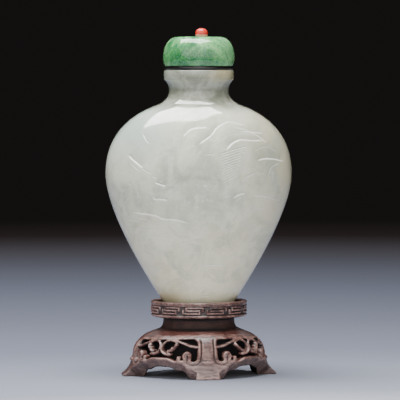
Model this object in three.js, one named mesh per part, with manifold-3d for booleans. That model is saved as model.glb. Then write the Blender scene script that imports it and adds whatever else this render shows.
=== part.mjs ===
// A jade snuff bottle with a stone-and-coral stopper, standing in the cup of a carved and pierced wood stand.
// Millimetres, +Z up. The origin is on the surface the stand rests on, under the middle of the stand.
// The broad faces of the bottle look along -Y and +Y, and the four feet of the stand lie on the X and Y axes.
import * as THREE from "three";
import { mergeVertices } from "three/addons/utils/BufferGeometryUtils.js";
import Module from "manifold-3d";

const wasm = await Module();
wasm.setup();

// ---- Driving sizes ----
const BOTTLE_WIDTH = 48.4;
const BOTTLE_DEPTH = 32.8;
const BOTTLE_HEIGHT = 61.3;
const MOUTH_RADIUS = 9.0;
const BORE_RADIUS = 4.4;

const STAND_HEIGHT = 19.3;
const STAND_HALF_WIDTH = 20.1;
const FLATNESS = 0.86; // half-depth of the stand over its half-width, out to the frieze
const TOE_FLATNESS = 0.35; // the same for what the feet reach beyond the frieze
const SHOULDER_LIFT = 0.7; // how much higher the shoulder is at the front and back than at the sides
const CUP_DEPTH = 2.0;
const RING_HALF_WIDTH = 12.45;
const FRIEZE_HALF_WIDTH = 17.1;
const WALL = 2.1; // thickness of the pierced frieze
const MIDDLE_HALF_WIDTH = 12; // the block is left solid behind the frieze, inside this
const MIDDLE_Z = 4.6; // underside of that solid middle
const CHANNEL_Z = 10; // ceiling of the channel between the middle and the frieze

const COLLAR_RADIUS = 8.8;
const COLLAR_HEIGHT = 1.05;
const CAP_RADIUS = 9.2;
const CAP_HEIGHT = 7.6;
const FINIAL_RADIUS = 1.6;
const FINIAL_HEIGHT = 2.1;
const FINIAL_OFFSET = 0.7; // the bead is set a little to the right of the middle of the cap

const BOTTLE_SIDES = 32;
const STAND_SIDES = 32;
const STOPPER_SIDES = 24;

// ---- Outlines ----

// Points along a cubic curve between stations that hold the same keys, without its first point.
function cubic(a, b, c, d, steps) {
  const curve = Object.keys(a).map((key) => [key, [a[key], b[key], c[key], d[key]]]);
  const weights = (t) => [(1 - t) ** 3, 3 * t * (1 - t) ** 2, 3 * t * t * (1 - t), t ** 3];
  return Array.from({ length: steps }, (_, i) => {
    const weight = weights((i + 1) / steps);
    const blend = (values) => values.reduce((sum, value, k) => sum + value * weight[k], 0);
    return Object.fromEntries(curve.map(([key, values]) => [key, blend(values)]));
  });
}

// A station of an oval body: half-width w along X, half-depth d along Y, height z.
const station = (w, d, z) => ({ w, d, z });

// ---- Solids and booleans ----

function toSolid(geometry) {
  const bare = (geometry.index ? geometry.toNonIndexed() : geometry).clone();
  bare.deleteAttribute("normal");
  bare.deleteAttribute("uv");
  const merged = mergeVertices(bare, 1e-4);
  return new wasm.Manifold(
    new wasm.Mesh({
      numProp: 3,
      vertProperties: merged.attributes.position.array,
      triVerts: new Uint32Array(merged.index.array),
    }),
  );
}

function toGeometry(solid) {
  const mesh = solid.getMesh();
  const geometry = new THREE.BufferGeometry();
  geometry.setAttribute("position", new THREE.BufferAttribute(new Float32Array(mesh.vertProperties), 3));
  geometry.setIndex(new THREE.BufferAttribute(new Uint32Array(mesh.triVerts), 1));
  geometry.computeVertexNormals();
  return geometry;
}

// Replaces every vertex of a geometry by place(x, y, z, index).
function remap(geometry, place) {
  const position = geometry.attributes.position;
  for (let i = 0; i < position.count; i += 1) {
    position.setXYZ(i, ...place(position.getX(i), position.getY(i), position.getZ(i), i));
  }
  return geometry;
}

// A closed body turned about Z. The profile runs anticlockwise as seen with +X right and +Z up.
function turned(profile, sides) {
  const lathe = new THREE.LatheGeometry(profile.map(({ w, z }) => new THREE.Vector2(w, z)), sides);
  return lathe.rotateX(Math.PI / 2);
}

// A turned body whose every ring is pressed to its own half-depth d.
function turnedOval(profile, sides) {
  return remap(turned(profile, sides), (x, y, z, index) => {
    const { w, d } = profile[index % profile.length];
    return [x, w > 0 ? (y * d) / w : 0, z];
  });
}

// ---- Bottle ----

const footHeight = 2.1;
const belly = station(BOTTLE_WIDTH / 2, BOTTLE_DEPTH / 2, 34.6);
const neckFoot = station(10.5, 9.3, 52.5);
const lipFoot = station(MOUTH_RADIUS, MOUTH_RADIUS, 58.8);

function bottleOutside() {
  const lipEdge = 0.25;
  const tuck = station(9.6, 7.4, footHeight);
  return [
    station(0, 0, 0.6),
    station(6.3, 4.3, 0.6),
    station(6.9, 4.8, 0),
    station(8.2, 6, 0),
    station(8.5, 6.2, lipEdge),
    tuck,
    ...cubic(tuck, station(18.8, 12.8, 16.1), station(belly.w, belly.d, 28.1), belly, 6),
    ...cubic(belly, station(belly.w, belly.d, 44.1), station(18.7, 13.1, 49.5), neckFoot, 7),
    ...cubic(neckFoot, station(6.5, 7.4, 54.3), station(7.6, 7.6, 57.7), lipFoot, 5),
    station(MOUTH_RADIUS, MOUTH_RADIUS, BOTTLE_HEIGHT - lipEdge),
    station(MOUTH_RADIUS - lipEdge, MOUTH_RADIUS - lipEdge, BOTTLE_HEIGHT),
  ];
}

// The bore and the cavity, from the mouth down to the floor inside.
function bottleInside() {
  const boreFoot = station(BORE_RADIUS, BORE_RADIUS, 53.2);
  const widest = station(19.8, 12.2, 35.2);
  const floor = station(4.5, 3.6, 6.6);
  return [
    station(BORE_RADIUS + 0.3, BORE_RADIUS + 0.3, BOTTLE_HEIGHT),
    station(BORE_RADIUS, BORE_RADIUS, BOTTLE_HEIGHT - 0.3),
    boreFoot,
    ...cubic(boreFoot, station(13.5, 8.2, 49.2), station(widest.w, widest.d, 43.7), widest, 4),
    ...cubic(widest, station(widest.w, widest.d, 27.7), station(13.2, 8.6, 15.7), floor, 3),
    station(0, 0, 5.9),
  ];
}

function bottle() {
  return turnedOval([...bottleOutside(), ...bottleInside()], BOTTLE_SIDES);
}

// ---- Stopper ----

function collar() {
  const edge = 0.2;
  const inset = COLLAR_RADIUS - edge;
  return turned(
    [
      { w: 0, z: 0 },
      { w: inset, z: 0 },
      { w: COLLAR_RADIUS, z: edge },
      { w: COLLAR_RADIUS, z: COLLAR_HEIGHT - edge },
      { w: inset, z: COLLAR_HEIGHT },
      { w: 0, z: COLLAR_HEIGHT },
    ],
    STOPPER_SIDES,
  );
}

function cap() {
  const waist = { w: CAP_RADIUS, z: 2 };
  const shoulder = { w: 5.2, z: CAP_HEIGHT - 0.1 };
  const land = { w: FINIAL_RADIUS + FINIAL_OFFSET + 0.1, z: CAP_HEIGHT };
  return turned(
    [
      { w: 0, z: 0 },
      { w: CAP_RADIUS - 0.35, z: 0 },
      { w: CAP_RADIUS - 0.15, z: 0.6 },
      waist,
      ...cubic(waist, { w: CAP_RADIUS, z: 5.2 }, { w: CAP_RADIUS - 1.4, z: CAP_HEIGHT }, shoulder, 6),
      land,
      { w: 0, z: CAP_HEIGHT },
    ],
    STOPPER_SIDES,
  );
}

function finial() {
  const side = { w: FINIAL_RADIUS, z: 0.7 };
  const top = { w: 0, z: FINIAL_HEIGHT };
  return turned(
    [
      { w: 0, z: 0 },
      { w: FINIAL_RADIUS - 0.05, z: 0 },
      side,
      ...cubic(side, { w: FINIAL_RADIUS, z: 1.5 }, { w: 1.05, z: FINIAL_HEIGHT }, top, 5),
    ],
    STOPPER_SIDES / 2,
  );
}

// ---- Stand ----

// How much of the lift a height gets: none at the frieze's foot and at the waist, nearly all at the shoulder.
function liftShare(z) {
  const [frieze, shoulder, waist] = [5, 10.4, 12.1];
  return Math.max(0, Math.min(1, (z - frieze) / (shoulder - frieze), (waist - z) / (waist - shoulder)));
}

// The point of the stand at half-width w, angle about Z from the front foot, and height z.
function onStand(w, angle, z) {
  const toe = Math.max(w - FRIEZE_HALF_WIDTH, 0);
  const depth = FLATNESS * (w - toe) + TOE_FLATNESS * toe;
  const lift = SHOULDER_LIFT * liftShare(z) * Math.cos(angle) ** 2;
  return [w * Math.sin(angle), -depth * Math.cos(angle), z + lift];
}

// A body turned about Z and pressed to the oval of the stand.
function turnedForStand(profile) {
  return remap(turned(profile, STAND_SIDES), (x, y, z) => {
    const w = Math.hypot(x, y);
    return w > 0 ? onStand(w, Math.atan2(x, -y), z) : [0, 0, z];
  });
}

// The underside: the solid middle, the channel round it and the inner face of the frieze.
function standUnderside() {
  const inner = FRIEZE_HALF_WIDTH - WALL;
  return [
    { w: 0, z: MIDDLE_Z },
    { w: MIDDLE_HALF_WIDTH, z: MIDDLE_Z },
    { w: MIDDLE_HALF_WIDTH, z: CHANNEL_Z },
    { w: inner - 1.8, z: CHANNEL_Z },
    { w: inner, z: 7.6 },
    { w: inner, z: 0 },
  ];
}

// The outside: the feet's flare, the frieze, the sloping shoulder and the waist.
function standSide() {
  const toe = { w: STAND_HALF_WIDTH, z: 0.5 };
  const toeTop = { w: 17.9, z: 2.8 };
  const friezeFoot = { w: FRIEZE_HALF_WIDTH + 0.1, z: 5.5 };
  const corner = { w: 14.9, z: 9.85 };
  const waistFoot = { w: 10.1, z: 12.1 };
  const waistTop = { w: 9.25, z: 15.1 };
  return [
    { w: STAND_HALF_WIDTH, z: 0 },
    toe,
    ...cubic(toe, { w: 19.2, z: 1.4 }, { w: 18.2, z: 2.0 }, toeTop, 2),
    friezeFoot,
    ...cubic(friezeFoot, { w: 17, z: 7.4 }, { w: 16.6, z: 8.5 }, corner, 2),
    { w: 13.8, z: 10.65 },
    { w: 11.5, z: 11.65 },
    waistFoot,
    ...cubic(waistFoot, { w: 9.2, z: 12.8 }, { w: 9.1, z: 13.8 }, waistTop, 2),
  ];
}

// The ring that holds the bottle's foot, with its rounded lip and the cup inside it.
function standRing() {
  const rim = STAND_HEIGHT;
  return [
    { w: RING_HALF_WIDTH - 0.9, z: 15.1 },
    { w: RING_HALF_WIDTH, z: 15.7 },
    { w: RING_HALF_WIDTH, z: rim - 0.4 },
    { w: RING_HALF_WIDTH - 0.35, z: rim },
    { w: RING_HALF_WIDTH - 1.1, z: rim },
    { w: RING_HALF_WIDTH - 1.5, z: rim - 0.4 },
    { w: RING_HALF_WIDTH - 1.6, z: rim - CUP_DEPTH },
    { w: 0, z: rim - CUP_DEPTH },
  ];
}

function standBody() {
  return turnedForStand([...standUnderside(), ...standSide(), ...standRing()]);
}

// Frieze drawings are in millimetres: p runs round the frieze from the middle of a panel, z is the height.
const LEGS = 4;
const PANEL_RADIUS = 15.5;
const PANEL_HALF = (PANEL_RADIUS * Math.PI) / LEGS;

// A cutter through the wall of the stand: a flat drawing in (p, z) bent round it between two half-widths.
// Where undercut is above 0, the cut sinks by that much for each millimetre inwards from the frieze.
function bent(shape, centreAngle, inner, outer, radius, undercut = 0) {
  const flat = new THREE.ExtrudeGeometry(shape, { depth: outer - inner, bevelEnabled: false, curveSegments: 5 });
  return toSolid(
    remap(flat, (p, z, depth) => {
      const w = inner + depth;
      return onStand(w, centreAngle + p / radius, z - undercut * (FRIEZE_HALF_WIDTH - w));
    }),
  );
}

function polygon(points) {
  return new THREE.Shape(points.map(([p, z]) => new THREE.Vector2(p, z)));
}

const mirrored = (points) => points.map(([p, z]) => [-p, z]).reverse();

function disc(p, z, radius, sides = 9) {
  const corner = (i) => [
    p + radius * Math.cos((2 * Math.PI * i) / sides),
    z + radius * Math.sin((2 * Math.PI * i) / sides),
  ];
  return Array.from({ length: sides }, (_, i) => corner(i));
}

// The outline of a band that follows a line, from one width at its start to another at its end.
function band(line, startWidth, endWidth) {
  const last = line.length - 1;
  const normal = (i) => {
    const [p0, z0] = line[i];
    const [p1, z1] = line[i + 1];
    const length = Math.hypot(p1 - p0, z1 - z0);
    return [(z0 - z1) / length, (p1 - p0) / length];
  };
  const side = (sign) =>
    line.map(([p, z], i) => {
      const [np, nz] = normal(Math.max(i - 1, 0));
      const [mp, mz] = normal(Math.min(i, last - 1));
      const reach = (sign * (startWidth + ((endWidth - startWidth) * i) / last)) / 2 / (1 + np * mp + nz * mz);
      return [p + reach * (np + mp), z + reach * (nz + mz)];
    });
  return [...side(-1), ...side(1).reverse()];
}

// Half of the window that the scrolls fill, from just past the middle of the panel to the border beside a leg.
const windowTop = 9.55;
const windowSide = 9.7;

function windowHalf() {
  const overlap = 0.1;
  return [
    [-overlap, 5.55],
    [2.3, 5.5],
    [4.2, 4.8],
    [8.0, 5.3],
    [8.4, 4.85],
    [9.1, 4.85],
    [windowSide, 5.5],
    [windowSide, windowTop - 1.2],
    [windowSide - 0.35, windowTop - 0.35],
    [windowSide - 1.2, windowTop],
    [-overlap, windowTop],
  ];
}

// Half a panel holds a stem that leaves the leg and curls into an open ring, the knobbed leaf inside the ring,
// the point on the top rail above it, a small leaf and the round volute that the foot's border hooks up into.
function ringLine() {
  const centre = { p: 2.45, z: 7.85 };
  const radius = { p: 2.3, z: 1.6 };
  const [from, to, steps] = [0.1 * Math.PI, 1.55 * Math.PI, 6];
  return Array.from({ length: steps + 1 }, (_, i) => {
    const angle = from + ((to - from) * i) / steps;
    return [centre.p + radius.p * Math.cos(angle), centre.z + radius.z * Math.sin(angle)];
  });
}

function stemLine() {
  const start = { p: windowSide + 0.3, z: 7.9 };
  const curve = cubic(start, { p: 7.6, z: 7.8 }, { p: 6.2, z: 9.0 }, { p: 3.6, z: 9.35 }, 3);
  return [start, ...curve].map(({ p, z }) => [p, z]);
}

function halfPanelScrolls() {
  const volute = { p: 7.2, z: 5.8 };
  return [
    band(ringLine(), 0.5, 0.8),
    band(stemLine(), 0.8, 0.5),
    band([[2.5, 6.1], [2.7, 7.1], [4.1, 8.3]], 0.7, 1.2),
    disc(volute.p, volute.z, 1.15, 8),
    [[4.2, 4.2], [6.2, 4.2], [5.6, 5.7], [4.7, 5.9], [4.5, 5.2]],
    [[3.6, windowTop + 0.3], [4.1, windowTop - 0.35], [4.6, windowTop + 0.3]],
  ];
}

// The openings between the scrolls of the panel centred at an angle, cut from the channel outwards.
// Each half of the window is a cutter of its own, because one across the whole panel would be too flat.
function panelOpenings(angle) {
  const inner = MIDDLE_HALF_WIDTH + 1.2;
  const outer = FRIEZE_HALF_WIDTH + 5;
  const cutter = (points, margin) => bent(polygon(points), angle, inner - margin, outer + margin, PANEL_RADIUS);
  const scrolls = halfPanelScrolls().flatMap((points) => [points, mirrored(points)]);
  return [windowHalf(), mirrored(windowHalf())].map((half) =>
    scrolls.reduce((openings, points) => openings.subtract(cutter(points, 1)), cutter(half, 0)),
  );
}

// The arch between two feet. Its edge steps down from the frieze to the flat of each foot.
function archShape() {
  const footSide = 9.7;
  const half = [
    [2.4, 4.9],
    [5.1, 3.9],
    [5.9, 4.05],
    [6.9, 3.2],
    [7.9, 1.9],
    [8.6, 1.7],
    [9.3, 1.1],
    [footSide, 0.6],
    [footSide, -20],
    [footSide / 2, -20],
  ];
  return polygon([...mirrored(half), ...half, [0, -20]]);
}

// The ground of the key fret, sunk between its raised strokes.
const FRETS = 12;
const fretRelief = 0.3;
const fretField = { low: 15.85, high: 18.35 };

// One raised S of the fret, with a short hook at each end.
function fretOutline() {
  const [low, middle, high] = [16.4, 17.15, 17.9];
  const [hook, bend] = [2.45, 1.6];
  const half = [[0, middle], [bend, middle], [bend, low], [-hook, low], [-hook, middle]];
  const otherHalf = half.slice(1).map(([p, z]) => [-p, 2 * middle - z]);
  return band([...otherHalf.reverse(), ...half], 0.36, 0.36);
}

function fretGround() {
  const groundWidth = RING_HALF_WIDTH - fretRelief;
  const { low, high } = fretField;
  let ground = toSolid(
    turnedForStand([
      { w: groundWidth, z: low },
      { w: RING_HALF_WIDTH + 1, z: low },
      { w: RING_HALF_WIDTH + 1, z: high },
      { w: groundWidth, z: high },
      { w: groundWidth, z: low },
    ]),
  );
  for (let i = 0; i < FRETS; i += 1) {
    const angle = ((i + 0.5) * 2 * Math.PI) / FRETS;
    const stroke = bent(polygon(fretOutline()), angle, groundWidth - 1, RING_HALF_WIDTH + 2, RING_HALF_WIDTH - 1);
    ground = ground.subtract(stroke);
  }
  return ground;
}

function stand() {
  let solid = toSolid(standBody());
  for (let i = 0; i < LEGS; i += 1) {
    const angle = ((i + 0.5) * 2 * Math.PI) / LEGS;
    solid = panelOpenings(angle).reduce((pierced, openings) => pierced.subtract(openings), solid);
    solid = solid.subtract(bent(archShape(), angle, 11, STAND_HALF_WIDTH + 10, PANEL_RADIUS, 1));
  }
  return toGeometry(solid.subtract(fretGround()));
}

// ---- The object ----

function material(color, roughness, metalness = 0) {
  return new THREE.MeshStandardMaterial({ color, roughness, metalness });
}

function named(name, geometry, look, z = 0, x = 0) {
  const mesh = new THREE.Mesh(geometry, look);
  mesh.name = name;
  mesh.position.set(x, 0, z);
  return mesh;
}

const jade = material(0xc9ccc2, 0.28);
const blackHorn = material(0x141214, 0.2);
const greenStone = material(0x5fa06c, 0.25);
const coral = material(0xd9574a, 0.35);
const darkWood = material(0x5a3833, 0.45);

const stopper = new THREE.Group();
stopper.position.z = BOTTLE_HEIGHT;
stopper.add(
  named("stopper_collar", collar(), blackHorn),
  named("stopper_cap", cap(), greenStone, COLLAR_HEIGHT),
  named("stopper_finial", finial(), coral, COLLAR_HEIGHT + CAP_HEIGHT, FINIAL_OFFSET),
);

const bottleInCup = new THREE.Group();
bottleInCup.position.z = STAND_HEIGHT - CUP_DEPTH;
bottleInCup.add(named("bottle", bottle(), jade), stopper);

const snuffBottle = new THREE.Group();
snuffBottle.add(named("stand", stand(), darkWood), bottleInCup);

export default snuffBottle;
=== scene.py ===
"""A jade snuff bottle with a stone-and-coral stopper on a carved and pierced wood stand.

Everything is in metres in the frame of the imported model: +Z up, the bottle's broad faces along -Y and +Y.
Outlines and drawings are written in millimetres, as a carver would measure them, and scaled by MM.
"""
import math

import bmesh
import bpy
import numpy as np
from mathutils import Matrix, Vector


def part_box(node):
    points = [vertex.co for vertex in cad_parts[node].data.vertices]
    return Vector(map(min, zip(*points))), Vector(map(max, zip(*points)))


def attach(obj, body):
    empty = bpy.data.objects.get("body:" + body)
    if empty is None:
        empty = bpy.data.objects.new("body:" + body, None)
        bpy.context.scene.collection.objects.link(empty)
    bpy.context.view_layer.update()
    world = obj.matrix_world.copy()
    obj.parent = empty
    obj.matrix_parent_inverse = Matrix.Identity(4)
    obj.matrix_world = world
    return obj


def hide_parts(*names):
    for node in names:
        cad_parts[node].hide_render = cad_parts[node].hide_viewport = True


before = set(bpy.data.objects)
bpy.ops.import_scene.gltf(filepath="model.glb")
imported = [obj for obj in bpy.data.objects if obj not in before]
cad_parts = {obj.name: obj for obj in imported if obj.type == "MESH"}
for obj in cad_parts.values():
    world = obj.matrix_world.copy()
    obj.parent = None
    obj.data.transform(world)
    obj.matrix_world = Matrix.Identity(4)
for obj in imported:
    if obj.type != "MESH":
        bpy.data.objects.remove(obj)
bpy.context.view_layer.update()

MM = 0.001

# ---- Driving sizes, in millimetres, as in the solids but for MIDDLE_HALF_WIDTH ----
bottle_low, bottle_high = (Vector(corner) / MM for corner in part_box("bottle"))
stand_low, stand_high = (Vector(corner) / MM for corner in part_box("stand"))
cap_low, cap_high = (Vector(corner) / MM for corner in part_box("stopper_cap"))
collar_low, collar_high = (Vector(corner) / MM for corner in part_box("stopper_collar"))
bead_low, bead_high = (Vector(corner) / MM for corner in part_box("stopper_finial"))

BOTTLE_FOOT_Z = bottle_low.z
BOTTLE_HEIGHT = bottle_high.z - bottle_low.z
BELLY = (bottle_high.x, bottle_high.y)
MOUTH_RADIUS = 9.0
BORE_RADIUS = 4.4

STAND_HEIGHT = stand_high.z
STAND_HALF_WIDTH = stand_high.x
FLATNESS = 0.86
TOE_FLATNESS = 0.35
SHOULDER_LIFT = 0.7
RING_HALF_WIDTH = 12.45
FRIEZE_HALF_WIDTH = 17.1
WALL = 2.1
MIDDLE_HALF_WIDTH = 12.9  # 0.9 more than in the solids, so that no light shows through the panels
MIDDLE_Z = 4.6
CHANNEL_Z = 10.0
PANEL_RADIUS = 15.5
LEGS = 4
PANEL_TURN = 2 * math.pi / LEGS
PANEL_HALF = PANEL_RADIUS * math.pi / LEGS
FRETS = 12


# ---- Helpers ----

def smoothstep(low, high, value):
    t = np.clip((value - low) / (high - low), 0.0, 1.0)
    return t * t * (3.0 - 2.0 * t)


def cubic(a, b, c, d, steps):
    """Points along a cubic curve between four stations, without its first point."""
    t = np.arange(1, steps + 1)[:, None] / steps
    a, b, c, d = (np.asarray(p, float) for p in (a, b, c, d))
    points = (1 - t) ** 3 * a + 3 * t * (1 - t) ** 2 * b + 3 * t**2 * (1 - t) * c + t**3 * d
    return [tuple(p) for p in points]


def through(points, step=0.12):
    """A smooth line through a few points (Catmull-Rom), sampled about every step."""
    knots = np.asarray(points, float)
    knots = np.vstack([2 * knots[0] - knots[1], knots, 2 * knots[-1] - knots[-2]])
    line = []
    for p0, p1, p2, p3 in zip(knots, knots[1:], knots[2:], knots[3:]):
        count = max(1, int(np.linalg.norm(p2 - p1) / step))
        t = (np.arange(count) / count)[:, None]
        line.append(
            0.5 * (
                2 * p1 + (p2 - p0) * t + (2 * p0 - 5 * p1 + 4 * p2 - p3) * t**2
                + (3 * p1 - 3 * p2 + p3 - p0) * t**3
            )
        )
    line.append(knots[-2:-1])
    return np.vstack(line)


def distance_to_line(points, line):
    """For each point: its distance to a line, the side of it that it is on, and how far along it is, 0 to 1."""
    starts, ends = line[:-1], line[1:]
    along = ends - starts
    length2 = (along**2).sum(1)
    best = np.full(len(points), np.inf)
    side = np.zeros(len(points))
    place = np.zeros(len(points))
    for i, (start, vector, square) in enumerate(zip(starts, along, length2)):
        offset = points - start
        t = np.clip(offset @ vector / square, 0.0, 1.0)
        gap = offset - t[:, None] * vector
        d = np.hypot(gap[:, 0], gap[:, 1])
        nearer = d < best
        best[nearer] = d[nearer]
        side[nearer] = np.sign(vector[0] * offset[nearer, 1] - vector[1] * offset[nearer, 0])
        place[nearer] = (i + t[nearer]) / len(starts)
    return best, side, place


def polygon_distance(points, polygon):
    """The signed distance of each point to a closed polygon, negative inside."""
    polygon = np.asarray(polygon, float)
    nearest = np.full(len(points), np.inf)
    inside = np.zeros(len(points), bool)
    x, y = points[:, 0], points[:, 1]
    for (x0, y0), (x1, y1) in zip(polygon, np.roll(polygon, -1, axis=0)):
        dx, dy = x1 - x0, y1 - y0
        square = dx * dx + dy * dy
        if square == 0:
            continue
        t = np.clip(((x - x0) * dx + (y - y0) * dy) / square, 0.0, 1.0)
        nearest = np.minimum(nearest, np.hypot(x - x0 - t * dx, y - y0 - t * dy))
        if y0 != y1:
            crosses = ((y0 <= y) != (y1 <= y)) & (x < x0 + (y - y0) * dx / dy)
            inside ^= crosses
    return np.where(inside, -nearest, nearest)


def placed(name, data):
    """A new object with this data, in the scene."""
    thing = bpy.data.objects.new(name, data)
    bpy.context.scene.collection.objects.link(thing)
    return thing


def make_mesh(name, vertices, faces, body="root"):
    """A smooth-shaded piece from vertices in millimetres."""
    mesh = bpy.data.meshes.new(name)
    mesh.from_pydata((np.asarray(vertices) * MM).tolist(), [], faces.tolist())
    mesh.validate()
    mesh.shade_smooth()
    piece = placed(name, mesh)
    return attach(piece, body)


def vertex_places(piece):
    """The vertices of a piece in millimetres."""
    places = np.empty(3 * len(piece.data.vertices))
    piece.data.vertices.foreach_get("co", places)
    return places.reshape(-1, 3) / MM


def store(piece, name, values):
    """Keeps one number for each vertex of a piece, for its material to read."""
    attribute = piece.data.attributes.new(name, "FLOAT", "POINT")
    attribute.data.foreach_set("value", np.asarray(values, np.float32))


def apply_modifiers(piece):
    bpy.context.view_layer.update()
    evaluated = piece.evaluated_get(bpy.context.evaluated_depsgraph_get())
    mesh = bpy.data.meshes.new_from_object(evaluated)
    piece.modifiers.clear()
    piece.data = mesh
    mesh.shade_smooth()


def finish_piece(piece, node, material):
    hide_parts(node)
    piece.data.materials.clear()
    piece.data.materials.append(material)
    return piece


# ---- Materials ----

class Material:
    """A short way to wire a procedural material round one Principled shader."""

    def __init__(self, name, **inputs):
        self.material = bpy.data.materials.new(name)
        self.material.use_nodes = True
        self.nodes = self.material.node_tree.nodes
        self.links = self.material.node_tree.links
        self.shader = self.nodes["Principled BSDF"]
        for socket, value in inputs.items():
            self.shader.inputs[socket.replace("_", " ")].default_value = value
        self.place = self.nodes.new("ShaderNodeTexCoord").outputs["Object"]

    def node(self, kind, settings=None, **inputs):
        node = self.nodes.new(kind)
        for key, value in (settings or {}).items():
            setattr(node, key, value)
        for socket, value in inputs.items():
            numbered = socket[0] == "i" and socket[1:].isdigit()
            target = node.inputs[int(socket[1:]) if numbered else socket.replace("_", " ")]
            if isinstance(value, bpy.types.NodeSocket):
                self.links.new(value, target)
            else:
                target.default_value = value
        return node

    def stretched(self, scale):
        """Object coordinates scaled per axis."""
        return self.node("ShaderNodeMapping", Vector=self.place, Scale=scale).outputs["Vector"]

    def noise(self, scale, detail=4.0, roughness=0.55, distortion=0.0, where=None):
        node = self.node(
            "ShaderNodeTexNoise", Vector=where or self.place, Scale=scale, Detail=detail, Roughness=roughness,
            Distortion=distortion,
        )
        return node.outputs["Fac"]

    def ramp(self, value, *stops):
        node = self.node("ShaderNodeValToRGB", Fac=value)
        elements = node.color_ramp.elements
        while len(elements) < len(stops):
            elements.new(0.5)
        for element, (position, colour) in zip(elements, stops):
            element.position = position
            element.color = (*colour, 1.0)
        return node.outputs["Color"]

    def mix(self, factor, a, b):
        node = self.node("ShaderNodeMix", {"data_type": "RGBA"})
        for socket, value in ((0, factor), (6, a), (7, b)):
            if isinstance(value, bpy.types.NodeSocket):
                self.links.new(value, node.inputs[socket])
            else:
                node.inputs[socket].default_value = (*value, 1.0) if isinstance(value, tuple) else value
        return node.outputs[2]

    def math(self, operation, a, b=0.0):
        return self.node("ShaderNodeMath", {"operation": operation}, i0=a, i1=b).outputs[0]

    def times(self, *shares):
        product = shares[0]
        for share in shares[1:]:
            product = self.math("MULTIPLY", product, share)
        return product

    def tint(self, colour, towards, *shares):
        """A colour mixed towards another by the product of the shares."""
        return self.mix(self.times(*shares), colour, towards)

    def span(self, value, low, high, to_low=0.0, to_high=1.0):
        node = self.node("ShaderNodeMapRange", {"interpolation_type": "SMOOTHSTEP"})
        self.links.new(value, node.inputs["Value"])
        for socket, number in (("From Min", low), ("From Max", high), ("To Min", to_low), ("To Max", to_high)):
            node.inputs[socket].default_value = number
        return node.outputs["Result"]

    def stored(self, name):
        """A number kept with each vertex of the piece."""
        return self.node("ShaderNodeAttribute", {"attribute_name": name}).outputs["Fac"]

    def coordinate(self, axis):
        return self.node("ShaderNodeSeparateXYZ", Vector=self.place).outputs[axis]

    def along(self, axis, low, high, to_low=0.0, to_high=1.0):
        """A change along an axis, between two places in millimetres."""
        return self.span(self.coordinate(axis), low * MM, high * MM, to_low, to_high)

    def set(self, socket, value):
        self.links.new(value, self.shader.inputs[socket])

    def bump(self, height, strength, distance):
        node = self.node("ShaderNodeBump", Height=height, Strength=strength, Distance=distance)
        self.links.new(node.outputs["Normal"], self.shader.inputs["Normal"])


def jade():
    """Pale greenish nephrite: soft clouds, a warmer skin low down that is also painted paler as painted light from
    below, a warmer tone at one side, painted shade on both shoulders and in the neck, and cut lines painted near
    white, partly frosted and partly painted highlight.
    """
    m = Material(
        "pale_jade", Roughness=0.12, IOR=1.6, Subsurface_Weight=0.35, Subsurface_Scale=0.0018,
        Subsurface_Radius=(1.0, 0.95, 0.8), Coat_Weight=0.9, Coat_Roughness=0.025,
    )
    deep, body, light = (0.43, 0.47, 0.37), (0.61, 0.63, 0.50), (0.81, 0.81, 0.67)
    wisp, crystal, frost_and_glint_white = (0.84, 0.85, 0.73), (0.90, 0.905, 0.83), (1.0, 1.0, 0.97)
    green_painted_shade, grey_painted_shade, neck_painted_shade = (0.43, 0.52, 0.46), (0.43, 0.45, 0.37), (0.19, 0.205, 0.155)
    cream_and_painted_light, straw, ochre = (1.0, 0.94, 0.69), (0.80, 0.69, 0.44), (0.72, 0.64, 0.40)
    brown, honey = (0.60, 0.52, 0.31), (0.62, 0.53, 0.27)

    clouds = m.noise(64.0, 5.0, 0.6, 0.5, m.stretched((1.0, 1.0, 0.8)))
    wisps = m.noise(150.0, 6.0, 0.7, 0.9)
    crystals = m.noise(620.0, 4.0, 0.7)
    stains = m.noise(95.0, 4.0, 0.6, 0.5)
    low = m.along("Z", 56, 16)
    left_shoulder = m.times(m.along("Z", 50, 64), m.along("X", -3, -17, 0.0, 0.85))
    right_shoulder = m.times(m.along("Z", 46, 60), m.along("X", 3, 20, 0.0, 0.8))
    low_left = m.times(m.along("Z", 31, 21), m.along("X", -2, -9))
    neck = m.along("Z", 67.2, 70.5, 0.0, 0.9)
    right_lip = m.times(m.along("Z", 74.5, 77.2), m.along("X", -1, 6))
    cuts = m.stored("cut")

    colour = m.ramp(clouds, (0.4, deep), (0.5, body), (0.6, light))
    colour = m.tint(colour, wisp, m.span(wisps, 0.44, 0.66, 0.0, 0.6))
    colour = m.tint(colour, crystal, m.span(crystals, 0.54, 0.7, 0.0, 0.5))
    # warmer and paler low down: partly the skin's own tone, partly painted light from below
    colour = m.tint(colour, cream_and_painted_light, low, m.span(wisps, 0.32, 0.6, 0.45, 1.0))
    # painted shade, greenish, on the upper left of the body
    colour = m.tint(colour, green_painted_shade, left_shoulder)
    # painted shade, greyish, on the upper right of the body
    colour = m.tint(colour, grey_painted_shade, right_shoulder)
    colour = m.tint(colour, straw, low, m.span(stains, 0.5, 0.68, 0.0, 0.5))
    colour = m.tint(colour, ochre, m.along("X", 4, 22), m.span(clouds, 0.4, 0.58, 0.1, 0.55))
    colour = m.tint(colour, brown, low_left, m.span(stains, 0.4, 0.6, 0.3, 0.8))
    # painted shade in the concave neck
    colour = m.tint(colour, neck_painted_shade, neck, m.span(wisps, 0.35, 0.62, 1.0, 0.65))
    colour = m.tint(colour, honey, right_lip, m.span(stains, 0.35, 0.6, 0.25, 0.8))
    # cut lines near white: partly their frosted ground, partly painted highlight on the faces turned to the light
    # above
    m.set("Base Color", m.tint(colour, frost_and_glint_white, cuts, 0.9))
    m.set("Roughness", m.math("ADD", m.span(clouds, 0.3, 0.7, 0.08, 0.13), m.times(cuts, 0.12)))
    m.bump(m.noise(240.0, 3.0), 0.03, 0.0002)
    return m.material


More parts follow.
